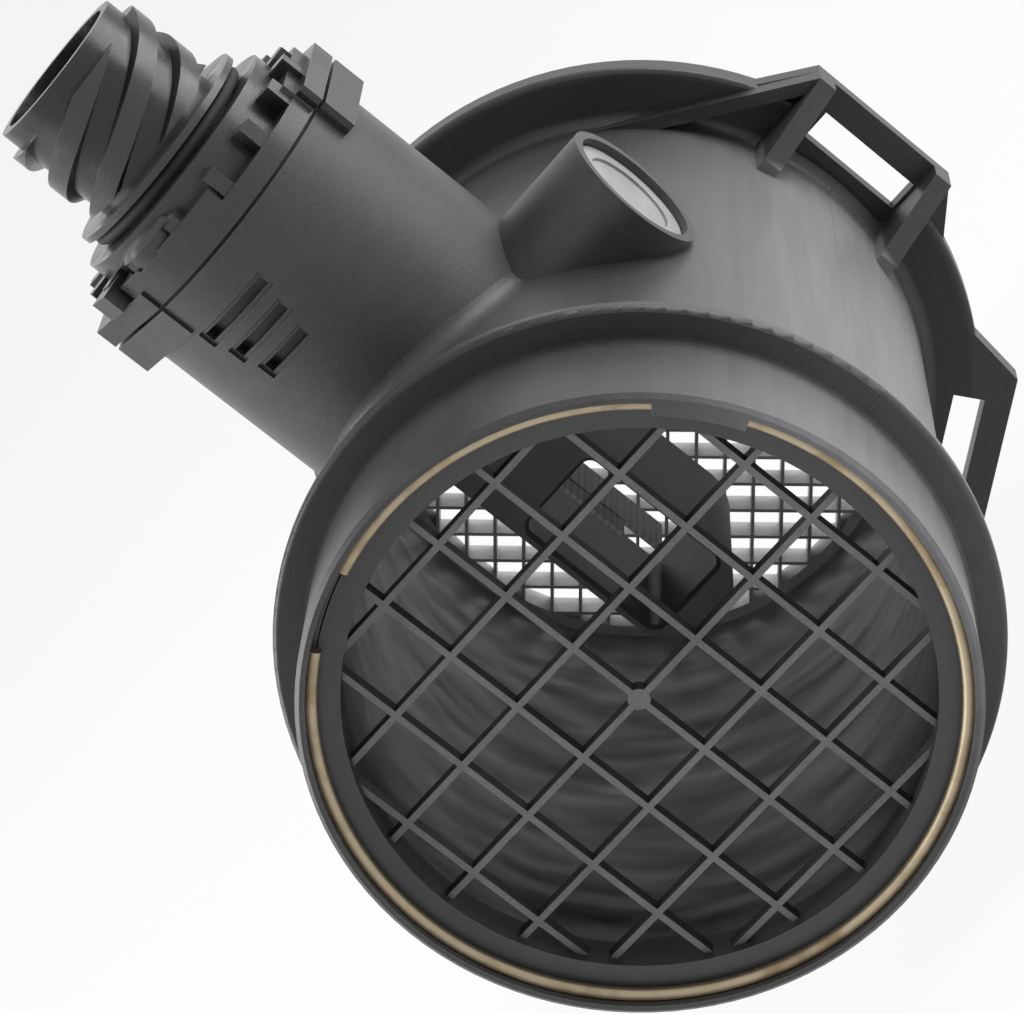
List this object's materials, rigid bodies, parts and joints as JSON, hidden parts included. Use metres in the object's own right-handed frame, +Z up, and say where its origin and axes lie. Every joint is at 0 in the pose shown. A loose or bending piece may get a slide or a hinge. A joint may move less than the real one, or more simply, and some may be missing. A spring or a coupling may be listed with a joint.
{
  "type": "mass airflow sensor",
  "caption": "Round flow tube with a hose spigot, lattice grid and slotted flange; a side neck holds the hot-film electronics under a threaded round connector.",
  "frame": {"origin": "centre of the flat mounting face of the rear flange, on the flow axis", "axes": "Y is the flow axis, with the hose spigot towards -Y and the mounting face towards +Y; the electronics neck stands up along +Z; the trim boss looks along +X"},
  "size_m": [0.112, 0.114, 0.1586],
  "materials": {
    "housing_plastic": "glass-filled moulding, fine eroded grain",
    "grid_plastic": "glass-filled moulding, smooth",
    "ring_wire": "drawn spring wire, dull",
    "straightener_metal": "thin light-metal walls, dull",
    "seal_rubber": "moulded rubber",
    "duct_plastic": "glass-filled moulding",
    "ceramic": "fired ceramic plate with a printed film",
    "holder_plastic": "moulded",
    "lead_wire": "tinned wire",
    "plate_aluminium": "milled plate",
    "board_ceramic": "ceramic hybrid board",
    "chip_plastic": "moulded chip",
    "capacitor": "ceramic body",
    "screw_steel": "zinc plated",
    "pot_body": "moulded body",
    "trim_brass": "turned",
    "cap_metal": "grained light-grey cap",
    "cover_plastic": "glass-filled moulding, a little glossy",
    "insert_plastic": "moulded",
    "contact_metal": "tinned contact"
  },
  "bodies": {
    "root": {"housing": "housing_plastic", "protective_grid": "grid_plastic", "grid_snap_ring": "ring_wire", "flow_straightener": "straightener_metal", "straightener_snap_ring": "ring_wire", "flange_seal": "seal_rubber", "duct_gasket": "seal_rubber", "measuring_duct": "duct_plastic", "hot_film": "ceramic", "air_temperature_film": "ceramic", "film_holder": "holder_plastic", "sensor_leads": "lead_wire", "base_plate": "plate_aluminium", "circuit_board": "board_ceramic", "hybrid_chip": "chip_plastic", "capacitors": "capacitor", "module_screws": "screw_steel", "trim_potentiometer": "pot_body", "trim_screw": "trim_brass", "trim_leads": "lead_wire", "tamper_cap": "cap_metal", "connector_cover": "cover_plastic", "cover_seal": "seal_rubber", "connector_seal": "seal_rubber", "contact_insert": "insert_plastic", "contact_pins": "contact_metal", "contact_leads": "lead_wire"}
  },
  "joints": []
}
